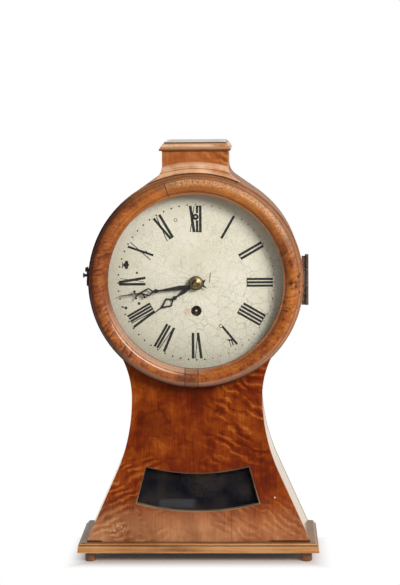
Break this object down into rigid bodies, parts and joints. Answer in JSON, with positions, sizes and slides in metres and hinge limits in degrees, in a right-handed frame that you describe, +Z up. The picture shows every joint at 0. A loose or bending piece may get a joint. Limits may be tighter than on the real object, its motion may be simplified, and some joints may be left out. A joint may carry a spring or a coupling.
{
  "type": "table clock",
  "caption": "Waisted wooden table clock with a round hinged glazed bezel, painted dial, spring-driven movement and a pendulum behind a curved window.",
  "frame": {"origin": "on the standing surface under the middle of the clock's bounding box", "axes": "+Z up, -Y out of the dial towards the viewer, +X to the viewer's right"},
  "size_m": [0.3, 0.14, 0.52],
  "materials": {
    "case_veneer": "polished figured veneer, warm orange brown",
    "bezel_wood": "polished turned hardwood with cross stripes",
    "plinth_wood": "worn straight-grained moulding",
    "pale_wood": "bare pale edge",
    "inner_wood": "plain dark softwood",
    "glass": "clear old glass",
    "dial_paint": "off-white paint with fine cracks",
    "iron": "dark rusted iron",
    "steel": "plain steel",
    "hand_steel": "dark blued steel",
    "brass": "aged brass"
  },
  "bodies": {
    "case": {"feet": "plinth_wood", "base_board": "inner_wood", "plinth_front_moulding": "plinth_wood", "plinth_left_moulding": "plinth_wood", "plinth_right_moulding": "plinth_wood", "front_panel": "case_veneer", "window_lining": "pale_wood", "window_glass": "glass", "waist_left_side": "case_veneer", "waist_right_side": "case_veneer", "drum_left_side": "case_veneer", "drum_right_side": "case_veneer", "neck_hollow_moulding": "case_veneer", "back_panel": "inner_wood", "turn_button_screw": "steel", "cap_board": "case_veneer", "cap_moulding": "plinth_wood", "hinge_fixed_leaf": "iron", "hinge_pin": "iron", "latch_screw": "iron", "dial_plate": "dial_paint", "dial_feet": "steel", "seat_board": "inner_wood", "seat_bearers": "inner_wood", "front_plate": "brass", "back_plate": "brass", "plate_pillars": "brass", "click_spring": "steel", "back_cock": "brass"},
    "bezel": {"bezel_ring": "bezel_wood", "bezel_glass": "glass", "glass_bead": "bezel_wood", "hinge_moving_leaf": "iron", "latch_catch": "iron"},
    "latch": {"latch_hook": "iron"},
    "door": {"back_door": "inner_wood", "door_pins": "steel"},
    "button": {"turn_button": "brass"},
    "minute_work": {"minute_hand": "hand_steel", "hand_collet": "brass", "cannon_pinion": "steel"},
    "hour_work": {"hour_hand": "hand_steel", "hour_wheel": "brass"},
    "minute_wheel_work": {"minute_wheel": "brass"},
    "centre_work": {"centre_wheel": "brass"},
    "third_work": {"third_wheel": "brass"},
    "escape_work": {"escape_wheel": "brass"},
    "barrel_work": {"barrel": "brass", "barrel_cap": "brass", "mainspring": "steel"},
    "winding_work": {"winding_arbor": "steel", "ratchet_wheel": "brass"},
    "click_work": {"click": "steel"},
    "pallet_work": {"pallet_anchor": "steel"},
    "pendulum": {"pendulum_rod": "steel", "suspension_spring": "steel"},
    "bob": {"pendulum_bob": "brass"},
    "nut": {"rating_nut": "brass"},
    "regulator": {"regulator_arbor": "steel"}
  },
  "joints": [
    {"name": "bezel_hinge", "type": "hinge", "parent": "case", "child": "bezel", "pos_m": [0.1351, -0.04425, 0.351], "axis": [0, 0, 1], "range_deg": [0, 110]},
    {"name": "latch_hook_turn", "type": "hinge", "parent": "case", "child": "latch", "pos_m": [-0.1336, -0.034, 0.3645], "axis": [1, 0, 0], "range_deg": [0, 290]},
    {"name": "back_door_hinge", "type": "hinge", "parent": "case", "child": "door", "pos_m": [0.0465, 0.063, 0.25], "axis": [0, 0, -1], "range_deg": [0, 110]},
    {"name": "turn_button_turn", "type": "hinge", "parent": "case", "child": "button", "pos_m": [-0.0582, 0.0674, 0.25], "axis": [0, 1, 0], "range_deg": [0, 90]},
    {"name": "minute_hand_turn", "type": "hinge", "parent": "case", "child": "minute_work", "pos_m": [0, -0.0453, 0.3484], "axis": [0, 1, 0], "continuous": true},
    {"name": "hour_hand_turn", "type": "hinge", "parent": "case", "child": "hour_work", "pos_m": [0, -0.042, 0.3484], "axis": [0, 1, 0], "continuous": true},
    {"name": "minute_wheel_turn", "type": "hinge", "parent": "case", "child": "minute_wheel_work", "pos_m": [-0.01103, -0.03, 0.35766], "axis": [0, 1, 0], "continuous": true},
    {"name": "escape_wheel_turn", "type": "hinge", "parent": "case", "child": "escape_work", "pos_m": [0, -0.002, 0.376], "axis": [0, 1, 0], "continuous": true},
    {"name": "third_wheel_turn", "type": "hinge", "parent": "case", "child": "third_work", "pos_m": [0.01659, -0.012, 0.36575], "axis": [0, 1, 0], "continuous": true},
    {"name": "centre_wheel_turn", "type": "hinge", "parent": "case", "child": "centre_work", "pos_m": [0, -0.02, 0.3484], "axis": [0, 1, 0], "continuous": true},
    {"name": "barrel_turn", "type": "hinge", "parent": "case", "child": "barrel_work", "pos_m": [0, 0, 0.3135], "axis": [0, 1, 0], "continuous": true},
    {"name": "winding_arbor_turn", "type": "hinge", "parent": "case", "child": "winding_work", "pos_m": [0, -0.028, 0.3135], "axis": [0, 1, 0], "continuous": true},
    {"name": "click_lift", "type": "hinge", "parent": "case", "child": "click_work", "pos_m": [0.019, -0.0278, 0.313], "axis": [0, 1, 0], "range_deg": [0, 10], "stiffness_Nm_per_rad": 0.005},
    {"name": "pendulum_swing", "type": "hinge", "parent": "case", "child": "pendulum", "pos_m": [0, 0.037, 0.4], "axis": [0, 1, 0], "range_deg": [-4, 4]},
    {"name": "pallet_rock", "type": "hinge", "parent": "case", "child": "pallet_work", "pos_m": [0, -0.002, 0.4], "axis": [0, 1, 0], "range_deg": [-4, 4]},
    {"name": "bob_height", "type": "slide", "parent": "pendulum", "child": "bob", "axis": [0, 0, 1], "range_m": [-0.003, 0.003]},
    {"name": "rating_nut_turn", "type": "hinge", "parent": "bob", "child": "nut", "pos_m": [0, 0.037, 0.0658], "axis": [0, 0, 1], "range_deg": [-1351, 1351]},
    {"name": "regulator_turn", "type": "hinge", "parent": "case", "child": "regulator", "pos_m": [0, 0, 0.429], "axis": [0, 1, 0], "range_deg": [-150, 150]}
  ],
  "couplings": [
    {"joint": "hour_hand_turn", "follows": "minute_hand_turn", "ratio": 0.083333},
    {"joint": "minute_wheel_turn", "follows": "minute_hand_turn", "ratio": -0.33333},
    {"joint": "third_wheel_turn", "follows": "escape_wheel_turn", "ratio": -0.083333},
    {"joint": "centre_wheel_turn", "follows": "escape_wheel_turn", "ratio": 0.0092593},
    {"joint": "barrel_turn", "follows": "escape_wheel_turn", "ratio": -0.0013228},
    {"joint": "pallet_rock", "follows": "pendulum_swing", "ratio": 1},
    {"joint": "rating_nut_turn", "follows": "bob_height", "rad_per_m": 7854}
  ]
}
